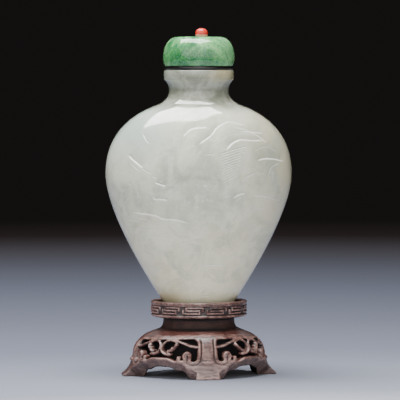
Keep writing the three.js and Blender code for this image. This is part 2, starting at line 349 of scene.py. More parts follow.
def green_stone():
    """Mottled apple green with teal specks, paler grains and patches, and lighter towards +X."""
    m = Material(
        "green_stone", Roughness=0.1, IOR=1.62, Subsurface_Weight=0.05, Subsurface_Scale=0.0008,
        Subsurface_Radius=(0.3, 1.0, 0.4), Coat_Weight=0.25, Coat_Roughness=0.03,
    )
    deep, apple, light = (0.02, 0.16, 0.045), (0.07, 0.31, 0.09), (0.23, 0.54, 0.21)
    yellowish, bright, teal, grain = (0.42, 0.60, 0.32), (0.33, 0.62, 0.30), (0.02, 0.17, 0.10), (0.30, 0.62, 0.28)

    patches = m.noise(150.0, 5.0, 0.65, 0.8)
    grains = m.noise(2300.0, 3.0, 0.7, 0.4)
    specks = m.noise(1400.0, 4.0, 0.75, 0.6)
    pale = m.noise(260.0, 4.0, 0.6, 1.2, m.stretched((1.0, 1.0, 1.6)))
    colour = m.ramp(patches, (0.38, deep), (0.5, apple), (0.62, light))
    colour = m.tint(colour, yellowish, m.span(pale, 0.55, 0.72, 0.0, 0.3))
    colour = m.tint(colour, bright, m.along("X", 1, 7, 0.0, 0.45))
    colour = m.tint(colour, teal, m.span(specks, 0.5, 0.64, 0.0, 0.8))
    m.set("Base Color", m.tint(colour, grain, m.span(grains, 0.5, 0.66, 0.0, 0.35)))
    m.set("Roughness", m.span(grains, 0.3, 0.7, 0.05, 0.1))
    m.bump(grains, 0.05, 0.0001)
    return m.material


def black_horn():
    m = Material("black_horn", Roughness=0.16, IOR=1.54)
    streaks = m.noise(350.0, 4.0, 0.6, 0.3, m.stretched((1.0, 3.0, 1.0)))
    m.set("Base Color", m.ramp(streaks, (0.35, (0.006, 0.005, 0.006)), (0.75, (0.022, 0.018, 0.017))))
    m.set("Roughness", m.span(streaks, 0.3, 0.7, 0.12, 0.22))
    return m.material


def coral():
    """Coral red, paler and ragged where the bead is cemented to the cap."""
    m = Material(
        "coral", Roughness=0.1, IOR=1.45, Subsurface_Weight=0.06, Subsurface_Scale=0.0006,
        Subsurface_Radius=(1.0, 0.25, 0.15),
    )
    veins = m.noise(1400.0, 4.0, 0.6, 0.4)
    colour = m.ramp(veins, (0.3, (0.62, 0.022, 0.014)), (0.7, (0.86, 0.075, 0.048)))
    foot, fade, rag = bead_low.z * MM, 0.2 * MM, 0.9 * MM
    ragged = m.math("ADD", m.coordinate("Z"), m.times(veins, -rag))
    cement = m.span(ragged, foot - fade, foot + fade, 0.85, 0.0)
    m.set("Base Color", m.tint(colour, (0.88, 0.48, 0.36), cement))
    m.set("Roughness", m.span(veins, 0.3, 0.7, 0.07, 0.13))
    return m.material


RECESS_SHADE_BLACK = (0.005, 0.0035, 0.0035)  # painted shade, near black, in the recesses and behind the frieze


def dark_wood():
    """Waxed dark hardwood, reddish on the open faces, with painted shade near black in the recesses, the waist and
    on the side feet, paler edges partly rubbed wear and partly painted highlight, and painted light on the front
    feet.
    """
    m = Material("dark_wood", Roughness=0.42, IOR=1.5, Coat_Weight=0.4, Coat_Roughness=0.2)
    deep, red, light = (0.028, 0.009, 0.0075), (0.085, 0.028, 0.022), (0.17, 0.066, 0.052)
    dusty, pore, fleck = (0.22, 0.115, 0.10), (0.014, 0.006, 0.005), (0.016, 0.006, 0.0055)
    worn_and_highlit, painted_foot_light, scuffs_and_glints = (0.33, 0.19, 0.16), (0.36, 0.25, 0.23), (0.42, 0.27, 0.24)
    waist_painted_shade, side_foot_painted_shade = (0.045, 0.02, 0.011), (0.045, 0.026, 0.024)

    grain = m.noise(95.0, 6.0, 0.6, 0.25, m.stretched((1.0, 6.0, 6.0)))
    pores = m.noise(700.0, 3.0, 0.6, 0.0, m.stretched((0.35, 3.0, 3.0)))
    bloom = m.noise(160.0, 3.0, 0.5)
    rubs = m.noise(420.0, 4.0, 0.65)
    flecks = m.noise(1100.0, 3.0, 0.65, 0.0, m.stretched((0.4, 1.5, 1.5)))
    edge = m.stored("edge")
    painted_hollow_shade = m.span(m.stored("painted_hollow_shade"), 0.0, 0.2)
    painted_light_front_feet = m.times(
        m.along("Z", 5.2, 3.4), m.span(pores, 0.42, 0.6, 0.65, 0.35), m.along("Y", 0, -11, 0.3, 1.0)
    )
    side_feet = m.times(m.along("Z", 4.5, 3), m.span(m.math("ABSOLUTE", m.coordinate("X")), 7 * MM, 19 * MM))
    waist = m.times(m.along("Z", 11.6, 12.8), m.along("Z", 15.5, 14.9))

    colour = m.ramp(grain, (0.3, deep), (0.5, red), (0.7, light))
    colour = m.tint(colour, dusty, m.span(bloom, 0.42, 0.66, 0.0, 0.45))
    colour = m.tint(colour, pore, m.span(pores, 0.5, 0.64, 0.0, 0.8))
    # paler on convex edges: partly rubbed wear, partly painted highlight
    colour = m.tint(colour, worn_and_highlit, m.span(edge, 0.008, 0.05), m.span(rubs, 0.36, 0.6, 0.05, 0.85))
    # painted light on the upward flare of the front feet, broken by the pores
    colour = m.tint(colour, painted_foot_light, painted_light_front_feet)
    # pale flecks on the raised wood: partly scuffs, partly painted glints
    colour = m.tint(colour, scuffs_and_glints, m.span(flecks, 0.46, 0.34, 0.0, 0.45), m.span(edge, 0.0, 0.02, 0.1, 1.0))
    colour = m.tint(colour, fleck, m.span(flecks, 0.52, 0.64, 0.0, 0.55))
    # painted shade in the concave creases above the feet
    colour = m.tint(colour, RECESS_SHADE_BLACK, m.span(edge, -0.004, -0.035, 0.0, 0.85), m.along("Z", 3, 5.5))
    # painted shade in the waist under the ring
    colour = m.tint(colour, waist_painted_shade, waist, 0.55)
    # painted shade on the side feet, turned away from the light
    colour = m.tint(colour, side_foot_painted_shade, side_feet, 0.6)
    # painted shade: near black in the recesses and behind and under the frieze
    m.set("Base Color", m.tint(colour, RECESS_SHADE_BLACK, painted_hollow_shade, 0.97))
    dull = m.math("MAXIMUM", painted_hollow_shade, m.times(waist, 0.75))
    m.set("Roughness", m.math("ADD", m.span(bloom, 0.3, 0.7, 0.27, 0.42), m.times(dull, 0.5)))
    m.set("Coat Weight", m.span(dull, 0.0, 0.7, 0.4, 0.0))
    relief = m.math("ADD", m.times(pores, -0.6), m.times(flecks, -0.5))
    m.bump(m.math("ADD", grain, relief), 0.45, 0.0002)
    return m.material


# ---- Bottle ----

FOOT_Z = 2.1
FOOT_EDGE = 0.25
BELLY_Z = 34.6
LIP_EDGE = 0.25
BOTTLE_SIDES = 128
SPLIT_LENGTHS = (0.8, 0.4, 0.2, 0.16)  # the longest edges kept near a drawn line, round after round


def bottle_outside():
    """Stations (half-width, half-depth, height above the foot) from the middle of the base to the lip."""
    belly = (*BELLY, BELLY_Z)
    foot_rim = (8.5, 6.2, FOOT_EDGE)
    tuck = (9.6, 7.4, FOOT_Z)
    neck_foot = (10.5, 9.3, 52.5)
    lip_foot = (MOUTH_RADIUS, MOUTH_RADIUS, 58.8)
    top = BOTTLE_HEIGHT
    return [
        (0, 0, 0.6), (6.3, 4.3, 0.6), (6.5, 4.5, 0.45), (6.9, 4.8, 0), (8.2, 6, 0), (8.42, 6.15, 0.08),
        foot_rim,
        *cubic(foot_rim, (8.8, 6.45, 0.9), (9.2, 6.8, 1.4), tuck, 6),
        *cubic(tuck, (18.8, 12.8, 16.1), (*BELLY, 28.1), belly, 60),
        *cubic(belly, (*BELLY, 44.1), (18.7, 13.1, 49.5), neck_foot, 56),
        *cubic(neck_foot, (6.5, 7.4, 54.3), (7.6, 7.6, 57.7), lip_foot, 24),
        (MOUTH_RADIUS + 0.04, MOUTH_RADIUS + 0.04, 59.1),
        (MOUTH_RADIUS + 0.05, MOUTH_RADIUS + 0.05, 60.0),
        (MOUTH_RADIUS, MOUTH_RADIUS, top - LIP_EDGE),
        (MOUTH_RADIUS - 0.08, MOUTH_RADIUS - 0.08, top - 0.08),
        (MOUTH_RADIUS - LIP_EDGE, MOUTH_RADIUS - LIP_EDGE, top),
    ]


def bottle_inside():
    """The same from the lip down the bore to the middle of the cavity's floor."""
    top = BOTTLE_HEIGHT
    bore_foot = (BORE_RADIUS, BORE_RADIUS, 53.2)
    widest = (19.8, 12.2, 35.2)
    floor = (4.5, 3.6, 6.6)
    return [
        (MOUTH_RADIUS - LIP_EDGE, MOUTH_RADIUS - LIP_EDGE, top),
        (BORE_RADIUS + 0.3, BORE_RADIUS + 0.3, top),
        (BORE_RADIUS, BORE_RADIUS, top - 0.3),
        bore_foot,
        *cubic(bore_foot, (13.5, 8.2, 49.2), (*widest[:2], 43.7), widest, 14),
        *cubic(widest, (*widest[:2], 27.7), (13.2, 8.6, 15.7), floor, 14),
        (0, 0, 5.9),
    ]


# The drawing on the bottle lies on its broad faces: u runs across, as seen a little from the left, v is the
# height above the surface that the stand rests on. A cut has a line, a width and a depth; a ledge is a step
# that fades away.
DRAWING_TURN = math.radians(-9)
CUT_DEPTH = 1.8  # how many times deeper the cuts are than their strengths below
LEDGE_DROP = 2.0  # the same for the ledges


def cut(points, strength, width=0.3):
    return {"line": through(points), "width": width, "depth": CUT_DEPTH * strength, "ledge": 0.0}


def ledge(points, strength=0.16, fade=1.2):
    """A raised form's edge: the ground on the left of the line, going along it, is sunk and fades up again."""
    return {"line": through(points), "width": 0.26, "depth": LEDGE_DROP * strength, "ledge": fade}


# The cuts on the front, by their strength.
FRONT_CUTS = {
    0.05: (
        [(18.5, 52.8), (19.0, 50.3)], [(17.7, 46.4), (20.8, 46.7)], [(-9.9, 39.4), (-7.2, 39.3)],
        [(-18.1, 40.5), (-15.0, 40.1), (-12.4, 39.7)], [(-18.9, 37.1), (-13.7, 36.6)],
        [(-9.9, 36.7), (-7.8, 36.9)], [(-0.6, 56.4), (0.0, 58.0), (0.6, 58.5)],
        [(12.6, 54.2), (14.4, 53.4), (15.6, 51.4)], [(12.0, 44.4), (15.0, 43.4), (17.6, 43.6)],
        [(-16.4, 34.9), (-11.7, 34.6)], [(-3.8, 59.6), (-2.4, 61.4)], [(-3.6, 32.2), (0.4, 32.4)],
    ),
    0.06: (
        [(-17.4, 55.1), (-14.9, 53.0)], [(-14.6, 53.8), (-11.8, 52.4)],
    ),
    0.07: (
        [(-18.1, 50.0), (-17.1, 49.5)], [(-4.7, 28.5), (-2.9, 28.5)], [(0.4, 20.8), (3.0, 20.8)],
        [(5.1, 60.4), (7.6, 62.0), (11.4, 62.5), (14.5, 61.8)], [(13.9, 58.0), (17.0, 59.2), (20.2, 57.6)],
        [(17.6, 51.8), (18.6, 54.0), (20.6, 54.9)], [(11.4, 51.1), (14.6, 52.6), (17.0, 52.1)],
        [(-19.4, 38.4), (-14.2, 38.1), (-9.8, 38.2)], [(-13.8, 36.0), (-8.0, 36.2)],
    ),
    0.08: (
        [(1.3, 57.0), (2.6, 57.5), (3.8, 57.4)], [(-20.2, 41.5), (-16.2, 41.1), (-11.7, 40.4)],
        [(-14.2, 62.6), (-13.3, 60.8), (-12.2, 59.9)],
    ),
    0.09: (
        [(1.2, 28.8), (3.9, 28.95), (6.6, 29.0)],
    ),
    0.1: (
        [(9.2, 45.6), (10.8, 46.3)], [(-11.9, 51.8), (-10.4, 51.3)], [(-9.9, 50.8), (-9.1, 50.0)],
    ),
}


def front_drawing():
    """The face in the photo: hills with hatching, ledges of rock, and water lower down."""
    hatching = [
        cut(
            [(4.9 + 0.1 * i, 57.2 - 0.64 * i), (8.3, 58.3 - 0.64 * i), (12.2 - 0.2 * i, 59.3 - 0.64 * i)],
            0.075, 0.28,
        )
        for i in range(12)
    ]
    cuts = [cut(points, strength) for strength, lines in FRONT_CUTS.items() for points in lines]
    return hatching + cuts + [
        ledge([(-3.9, 61.6), (-2.1, 63.4), (-0.1, 63.9), (2.5, 63.9)], 0.14),
        ledge(
            [(-0.2, 59.5), (1.7, 60.9), (3.3, 62.1), (4.6, 63.8), (5.8, 64.7), (7.1, 65.3), (8.4, 65.3),
             (12.0, 64.2)], 0.2,
        ),
        ledge([(10.7, 62.9), (13.5, 62.7), (16.4, 62.3)], 0.12),
        ledge([(6.9, 58.0), (7.9, 59.3), (9.2, 60.3), (10.7, 60.8), (13.3, 60.6), (16.4, 60.5)], 0.18),
        ledge([(14.8, 55.4), (16.4, 55.9), (19.0, 55.8), (21.8, 55.1)], 0.14),
        ledge([(8.7, 46.0), (10.2, 46.9), (11.8, 47.2)], 0.18, 0.7),
        ledge([(-18.1, 57.0), (-16.8, 55.7), (-15.5, 54.7), (-14.2, 53.6)], 0.14),
        ledge([(-11.2, 50.0), (-9.3, 49.4), (-8.3, 49.2)], 0.16, 0.7),
        ledge([(-11.7, 45.8), (-9.6, 45.75), (-7.8, 45.6)], 0.16, 0.8),
        ledge(
            [(-17.3, 42.4), (-15.0, 42.1), (-12.4, 41.8), (-10.6, 41.4), (-9.1, 40.7), (-6.5, 40.6),
             (-4.2, 40.1), (-1.9, 39.6)], 0.16,
        ),
        ledge([(8.6, 64.0), (11.4, 63.4), (14.5, 62.0), (17.4, 59.8)], 0.1),
        ledge([(13.5, 46.6), (17.4, 46.1), (20.8, 44.8)], 0.1),
    ]


def back_drawing():
    """The hidden face: a far shore, a hill and ripples, more sparing than the front."""
    return [
        ledge([(-15.0, 52.0), (-9.0, 58.5), (-3.0, 61.0), (2.5, 58.5), (8.0, 54.0), (15.5, 51.5)], 0.15),
        ledge([(-17.5, 44.0), (-11.0, 43.2), (-4.5, 43.8), (3.0, 42.6), (9.0, 42.0)], 0.14),
        ledge([(4.0, 47.0), (9.0, 47.8), (15.0, 46.6)], 0.12),
        cut([(-12.0, 39.0), (-7.0, 38.7)], 0.06),
        cut([(3.0, 37.5), (8.5, 37.8)], 0.06),
        cut([(-5.0, 33.0), (0.5, 32.8)], 0.06),
    ]


def carving_depth(points, drawing):
    """At each (u, v) point: how far the drawing sinks the surface, how near the closest line is, and how far
    the point lies on a cut or a ledge's face, from 0 to 1."""
    depth = np.zeros(len(points))
    nearest = np.full(len(points), np.inf)
    frost_and_glint = np.zeros(len(points))
    for mark in drawing:
        line = mark["line"]
        reach = 3.5 * mark["ledge"] + mark["width"] + 0.3
        low, high = line.min(0) - reach, line.max(0) + reach
        close = np.flatnonzero(((points > low) & (points < high)).all(1))
        if len(close) == 0:
            continue
        d, side, place = distance_to_line(points[close], line)
        taper = smoothstep(0.0, 0.16, place) * (1.0 - smoothstep(0.84, 1.0, place))
        if mark["ledge"]:
            fading = np.where(side > 0, np.exp(-d / mark["ledge"]), 0.0)
            step = np.where(side > 0, smoothstep(0.0, mark["width"], d), 0.0)
            sunk = mark["depth"] * taper * fading * step
            face = np.abs(d * side - mark["width"] / 2)
        else:
            sunk = mark["depth"] * taper * (1.0 - smoothstep(0.0, mark["width"] / 2, d))
            face = d
        strength = min(1.0, 3.2 * mark["depth"])
        depth[close] = np.maximum(depth[close], sunk)
        nearest[close] = np.minimum(nearest[close], d)
        frost_and_glint[close] = np.maximum(frost_and_glint[close], strength * taper * (1.0 - smoothstep(0.06, 0.2, face)))
    return depth, nearest, frost_and_glint


def split_near(params, triangles, wanted):
    """Splits every edge that is wanted in half, and the triangles with them."""
    edges = np.sort(triangles[:, [0, 1, 1, 2, 2, 0]].reshape(-1, 2), axis=1)
    unique, index = np.unique(edges, axis=0, return_inverse=True)
    index = index.reshape(-1, 3)
    marked = wanted(unique)
    middle = np.full(len(unique), -1)
    middle[marked] = len(params) + np.arange(marked.sum())
    params = np.vstack([params, params[unique[marked]].mean(1)])
    cuts = middle[index]
    count = (cuts >= 0).sum(1)
    out = [triangles[count == 0]]
    for turn in range(3):
        a, b, c = np.roll(triangles, -turn, axis=1).T
        ab, bc, ca = np.roll(cuts, -turn, axis=1).T
        one = (count == 1) & (ab >= 0)
        out += [np.stack([a, ab, c], 1)[one], np.stack([ab, b, c], 1)[one]]
        two = (count == 2) & (ca < 0)
        out += [
            np.stack([a, ab, c], 1)[two], np.stack([ab, bc, c], 1)[two], np.stack([ab, b, bc], 1)[two],
        ]
    a, b, c = triangles.T
    ab, bc, ca = cuts.T
    three = count == 3
    out += [
        np.stack(corner, 1)[three] for corner in ((a, ab, ca), (ab, b, bc), (ca, bc, c), (ab, bc, ca))
    ]
    return params, np.vstack(out)


class OvalBody:
    """A body turned about Z with its own half-width and half-depth at every station."""

    def __init__(self, stations, lift):
        self.stations = np.asarray(stations, float)
        self.lift = lift

    def points(self, params):
        angle, row = params[:, 0], params[:, 1]
        rows = np.arange(len(self.stations))
        w, d, z = (np.interp(row, rows, self.stations[:, i]) for i in range(3))
        return np.stack([w * np.sin(angle), -d * np.cos(angle), z + self.lift], 1)

    def normals(self, params):
        step = 1e-3
        across = self.points(params + [step, 0]) - self.points(params - [step, 0])
        last = len(self.stations) - 1
        up, down = params.copy(), params.copy()
        up[:, 1] = np.minimum(up[:, 1] + 0.5, last)
        down[:, 1] = np.maximum(down[:, 1] - 0.5, 0)
        along = self.points(up) - self.points(down)
        normal = np.cross(across, along)
        return normal / np.maximum(np.linalg.norm(normal, axis=1), 1e-9)[:, None]

    def grid(self, sides):
        rows = len(self.stations)
        angle = np.linspace(-math.pi, math.pi, sides + 1)
        a, r = np.meshgrid(angle, np.arange(rows, dtype=float), indexing="ij")
        index = np.arange((sides + 1) * rows).reshape(sides + 1, rows)
        p, q, s, t = index[:-1, :-1], index[1:, :-1], index[1:, 1:], index[:-1, 1:]
        triangles = np.concatenate([np.stack(corners, -1).reshape(-1, 3) for corners in ((p, q, s), (p, s, t))])
        return np.stack([a.ravel(), r.ravel()], 1), triangles


def drawing_places(points):
    """Where surface points lie in the drawings, and whether they are on the front."""
    u = points[:, 0] * math.cos(DRAWING_TURN) + points[:, 1] * math.sin(DRAWING_TURN)
    front = points[:, 1] < 0
    return np.stack([np.where(front, u, -u), points[:, 2]], 1), front


def drawn(points):
    """carving_depth for points all round the bottle, each from its own face's drawing."""
    places, front = drawing_places(points)
    found = np.zeros((3, len(points)))
    for face, drawing in ((front, front_drawing()), (~front, back_drawing())):
        found[:, face] = carving_depth(places[face], drawing)
    return found


def make_bottle(material):
    body = OvalBody(bottle_outside(), BOTTLE_FOOT_Z)
    params, triangles = body.grid(BOTTLE_SIDES)
    for longest in SPLIT_LENGTHS:
        points = body.points(params)
        _, nearest, _ = drawn(points)

        def wanted(edges):
            length = np.linalg.norm(points[edges[:, 0]] - points[edges[:, 1]], axis=1)
            near = np.minimum(nearest[edges[:, 0]], nearest[edges[:, 1]])
            return (length > longest) & (near < 0.35 + 0.9 * longest)

        params, triangles = split_near(params, triangles, wanted)
    points = body.points(params)
    depth, _, _ = drawn(points)
    outside = points - body.normals(params) * depth[:, None]

    lining = OvalBody(bottle_inside(), BOTTLE_FOOT_Z)
    lining_params, lining_triangles = lining.grid(BOTTLE_SIDES)
    vertices = np.vstack([outside, lining.points(lining_params)])
    faces = np.vstack([triangles, lining_triangles + len(outside)])
    piece = make_mesh("bottle_carved", vertices, faces)
    weld(piece)
    _, _, frost_and_glint = drawn(vertex_places(piece))
    store(piece, "cut", frost_and_glint)
    return finish_piece(piece, "bottle", material)


def weld(piece, distance=0.002 * MM):
    mesh = bmesh.new()
    mesh.from_mesh(piece.data)
    bmesh.ops.remove_doubles(mesh, verts=mesh.verts, dist=distance)
    bmesh.ops.dissolve_degenerate(mesh, dist=distance / 4, edges=mesh.edges)
    mesh.to_mesh(piece.data)
    mesh.free()
    piece.data.shade_smooth()


# ---- Stopper ----

def turned_piece(name, stations, sides, node, material, centre_x=0.0):
    """A closed turned piece from (radius, height) stations."""
    body = OvalBody([(r, r, z) for r, z in stations], 0.0)
    params, triangles = body.grid(sides)
    piece = make_mesh(name, body.points(params) + [centre_x, 0, 0], triangles)
    weld(piece)
    return finish_piece(piece, node, material)


def make_collar(material):
    r, low, high, edge = collar_high.x, collar_low.z, collar_high.z, 0.5
    corner = [(r - edge * (1 - math.sin(a)), edge * (1 - math.cos(a))) for a in np.linspace(0, math.pi / 2, 9)]
    stations = [(0, low), (r - edge - 0.3, low)]
    stations += [(x, low + z) for x, z in corner]
    stations += [(x, high - z) for x, z in reversed(corner)]
    stations += [(r - edge - 0.3, high), (0, high)]
    return turned_piece("collar_disc", stations, 96, "stopper_collar", material)


def make_cap(material):
    r, low, top = cap_high.x, cap_low.z, cap_high.z
    land = bead_high.x + 0.1
    waist = (r, low + 2.0)
    stations = [(0, low), (r - 0.6, low), (r - 0.42, low + 0.04), (r - 0.34, low + 0.18)]
    stations += cubic((r - 0.34, low + 0.18), (r - 0.2, low + 0.7), (r, low + 1.2), waist, 8)
    stations += cubic(waist, (r, low + 5.2), (r - 1.4, top), (5.2, top - 0.1), 26)
    stations += [(land + 0.6, top - 0.02), (land, top), (0, top)]
    return turned_piece("cap_stone", stations, 96, "stopper_cap", material)


def make_bead(material):
    r, centre_x = (bead_high.x - bead_low.x) / 2, (bead_high.x + bead_low.x) / 2
    low, top = bead_low.z, bead_high.z
    side = (r, low + 0.7)
    stations = [(0, low), (r - 0.12, low), (r - 0.05, low + 0.06)]
    stations += cubic((r - 0.05, low + 0.06), (r - 0.02, low + 0.3), (r, low + 0.5), side, 4)
    stations += cubic(side, (r, low + 1.5), (1.05, top), (0, top), 14)
    return turned_piece("coral_bead", stations, 48, "stopper_finial", material, centre_x)


# ---- Stand: a solid described by distances, cut and carved, then meshed once ----

VOXEL = 0.17
STAND_TRIANGLES = 190000
EDGE_BLUR, HOLLOW_BLUR = 3, 24  # rounds of averaging that tell edges from faces, and recesses from the open


def stand_profile():
    """The outline (half-width, height) that the stand is turned to, before it is pierced and carved."""
    inner = FRIEZE_HALF_WIDTH - WALL
    toe, toe_top = (STAND_HALF_WIDTH, 0.5), (17.5, 4.2)
    frieze, corner = (FRIEZE_HALF_WIDTH + 0.1, 5.5), (14.9, 9.85)
    waist_foot, waist_top = (10.1, 12.1), (9.25, 15.1)
    rim, ring = STAND_HEIGHT, RING_HALF_WIDTH
    cup = rim - 2.0
    return [
        (0, MIDDLE_Z), (MIDDLE_HALF_WIDTH, MIDDLE_Z), (MIDDLE_HALF_WIDTH, CHANNEL_Z), (inner - 1.8, CHANNEL_Z),
        (inner, 7.6), (inner, 0),
        (STAND_HALF_WIDTH, 0), toe,
        *cubic(toe, (18.9, 1.2), (17.9, 2.4), toe_top, 12),
        frieze,
        *cubic(frieze, (17.0, 7.4), (16.6, 8.5), corner, 10),
        (13.8, 10.62), (11.2, 11.72), (10.62, 11.8), (10.5, 12.05),
        waist_foot,
        *cubic(waist_foot, (9.2, 12.8), (9.1, 13.8), waist_top, 8),
        (ring - 0.9, 15.1), (ring - 0.25, 15.3), (ring, 15.6),
        (ring, 18.45), (ring - 0.16, 18.58), (ring, 18.72),
        (ring, rim - 0.3), (ring - 0.3, rim), (ring - 1.1, rim),
        (ring - 1.45, rim - 0.35), (ring - 1.6, cup), (0, cup),
    ]


# Frieze drawings: p runs round the frieze from the middle of a panel, z is the height. Half a panel is drawn.
WINDOW_TOP = 9.55
WINDOW_SIDE = 9.7


def window_outline():
    """The edge of a panel's opening, before the scrolls are left standing in it."""
    radius = 1.1
    quarter, under = np.linspace(0, math.pi / 2, 6), np.linspace(-0.1, -math.pi + 0.2, 8)
    corner = [
        (WINDOW_SIDE - radius * (1 - math.sin(a)), WINDOW_TOP - radius * (1 - math.cos(a))) for a in quarter
    ]
    hook = [(8.8 + 0.75 * math.cos(a), 5.35 + 0.72 * math.sin(a)) for a in under]
    return [
        (-1, WINDOW_TOP), *corner, (WINDOW_SIDE, 6.2), *hook, (7.6, 5.1), (4.2, 4.75), (3.2, 5.15), (2.3, 5.5),
        (-1, 5.5),
    ]


def arch_outline():
    """The edge of the opening between two feet, down past the floor."""
    foot_side = 9.7
    return [
        (-1, 4.9), (2.4, 4.9), (3.3, 4.5), (4.3, 4.1), (5.1, 3.9), (5.9, 4.05), (6.5, 3.6), (6.9, 3.1), (7.4, 2.3),
        (7.9, 1.9), (8.6, 1.7), (9.05, 1.4), (9.3, 1.0), (foot_side, 0.75), (foot_side, -20), (-1, -20),
    ]


def stroke(points, line, start, end):
    """The distance to a stroke whose half-width grows from start to end."""
    d, _, place = distance_to_line(points, np.asarray(line, float))
    return d - (start + (end - start) * place)


def knob(points, p, z, radius):
    return np.hypot(points[:, 0] - p, points[:, 1] - z) - radius


def scroll_distance(points):
    """The distance to the scrolls of half a panel: ring, stem, knobbed leaf, point, small leaf and volute."""
    angle = np.linspace(0.1, 1.55, 40) * math.pi
    ring = np.stack([2.45 + 2.3 * np.cos(angle), 7.85 + 1.6 * np.sin(angle)], 1)
    stem = [(WINDOW_SIDE + 0.3, 7.9), *cubic((WINDOW_SIDE + 0.3, 7.9), (7.6, 7.8), (6.2, 9.0), (3.6, 9.35), 20)]
    leaf = through([(2.5, 6.15), (2.35, 6.7), (2.75, 7.05), (3.3, 7.35), (3.85, 7.85), (4.15, 8.3)])
    parts = [
        stroke(points, ring, 0.25, 0.38),
        stroke(points, stem, 0.36, 0.25),
        stroke(points, leaf, 0.36, 0.38),
        knob(points, 4.2, 8.35, 0.5),
        knob(points, 3.25, 7.65, 0.36),
        knob(points, 2.2, 7.0, 0.34),
        knob(points, 7.2, 5.8, 1.15),
        stroke(points, through([(7.2, 4.0), (7.25, 5.4)]), 1.05, 1.0),
        polygon_distance(points, [(4.3, 4.0), (6.3, 4.0), (5.75, 5.0), (5.65, 5.75), (4.75, 5.85), (4.55, 5.2)]),
        polygon_distance(points, [(3.6, WINDOW_TOP + 0.3), (4.1, WINDOW_TOP - 0.4), (4.6, WINDOW_TOP + 0.3)]),
    ]
    return np.min(parts, axis=0)


def volute_line():
    """The groove that winds into the round volute over the hook."""
    turn = np.linspace(-0.4, 2.1, 40) * math.pi
    radius = np.linspace(0.85, 0.25, 40)
    return np.stack([7.2 + radius * np.cos(turn), 5.75 + radius * np.sin(turn)], 1)


def fret_distance(points):
    """The distance to one raised S of the key fret, centred on p = 0."""
    low, middle, high, hook, bend, half = 16.4, 17.15, 17.9, 2.45, 1.6, 0.18
    line = [
        (-hook, middle), (-hook, low), (bend, low), (bend, middle), (-bend, middle), (-bend, high), (hook, high),
        (hook, middle),
    ]
    parts = []
    for (p0, z0), (p1, z1) in zip(line, line[1:]):
        p = np.abs(points[:, 0] - (p0 + p1) / 2) - abs(p1 - p0) / 2 - half
        z = np.abs(points[:, 1] - (z0 + z1) / 2) - abs(z1 - z0) / 2 - half
        parts.append(np.maximum(p, z))
    return np.min(parts, axis=0)


class Table:
    """Values on a flat grid, read back anywhere by blending."""

    def __init__(self, function, low, high, step):
        self.low, self.step = np.asarray(low, float), step
        self.axes = [np.arange(a, b + step, step) for a, b in zip(low, high)]
        grid = np.stack([g.ravel() for g in np.meshgrid(*self.axes, indexing="ij")], 1)
        self.values = function(grid).reshape(len(self.axes[0]), len(self.axes[1])).astype(np.float32)

    def soften(self, rounds=1):
        v = self.values
        for _ in range(rounds):
            v = np.pad(v, 1, mode="edge")
            v = (v[1:-1, 1:-1] * 4 + (v[:-2, 1:-1] + v[2:, 1:-1] + v[1:-1, :-2] + v[1:-1, 2:]) * 2
                 + v[:-2, :-2] + v[2:, 2:] + v[:-2, 2:] + v[2:, :-2]) / 16
        self.values = v
        return self

    def at(self, a, b):
        x = np.clip((a - self.low[0]) / self.step, 0, self.values.shape[0] - 1.001)
        y = np.clip((b - self.low[1]) / self.step, 0, self.values.shape[1] - 1.001)
        i, j = x.astype(np.int32), y.astype(np.int32)
        fx, fy = (x - i).astype(np.float32), (y - j).astype(np.float32)
        v = self.values
        return (
            v[i, j] * (1 - fx) * (1 - fy) + v[i + 1, j] * fx * (1 - fy) + v[i, j + 1] * (1 - fx) * fy
            + v[i + 1, j + 1] * fx * fy
        )


def half_panel(distance, low=0):
    """A drawing on half a panel, kept as a table."""
    return Table(distance, (0, low), (12.5, 12), 0.06)


def smooth_max(a, b, k):
    """The larger of two distances, with the corner between them rounded over k."""
    h = np.maximum(k - np.abs(a - b), 0.0) / k
    return np.maximum(a, b) + h * h * k / 4


def smooth_min(a, b, k):
    return -smooth_max(-a, -b, k)


def oval_place(x, y):
    """The half-width w and the angle from the front foot of the oval that passes through each point."""
    near = np.hypot(x, y / FLATNESS)
    beyond, halvings = 60.0, 30
    low, high = np.full_like(x, FRIEZE_HALF_WIDTH), np.full_like(x, beyond)
    for _ in range(halvings):
        w = (low + high) / 2
        depth = FLATNESS * FRIEZE_HALF_WIDTH + TOE_FLATNESS * (w - FRIEZE_HALF_WIDTH)
        outside = (x / w) ** 2 + (y / depth) ** 2 > 1
        low, high = np.where(outside, w, low), np.where(outside, high, w)
    inner = near < FRIEZE_HALF_WIDTH
    w = np.where(inner, near, low)
    depth = np.where(inner, FLATNESS * near, depth)
    return w, np.arctan2(x / np.maximum(w, 1e-6), -y / np.maximum(depth, 1e-6))


def own_height(z, angle):
    """The height in the outline of a point at height z: the shoulder rises to the front and back."""
    rise_from, rise_over, fall_to, fall_over, rounds = 5.0, 5.4, 12.1, 1.7, 6
    own = z
    for _ in range(rounds):
        share = np.clip(np.minimum((own - rise_from) / rise_over, (fall_to - own) / fall_over), 0.0, 1.0)
        own = z - SHOULDER_LIFT * share * np.cos(angle) ** 2
    return own


def panel_carving(w, p, z, opening, below):
    """How far the grooves beside the legs, the rounded edges and the curls in the volutes sink the frieze."""
    beside_leg = smoothstep(WINDOW_SIDE - 3.4, WINDOW_SIDE - 2.0, p)
    groove = np.exp(-(((opening - 1.0) / 0.17) ** 2)) * 0.45 * beside_leg
    groove *= smoothstep(0.5, 0.9, below) * (1 - smoothstep(9.6, 10.1, z))
    rounding = 0.42 * (1 - smoothstep(0.0, 0.6, opening)) ** 2
    curl = half_panel(lambda g: distance_to_line(g, volute_line())[0]).at(p, z)
    curl = 0.3 * np.exp(-((curl / 0.13) ** 2))
    outer = smoothstep(FRIEZE_HALF_WIDTH - 2.2, FRIEZE_HALF_WIDTH - 1.4, w)
    return (groove + rounding + curl) * outer * (z < 10.4)


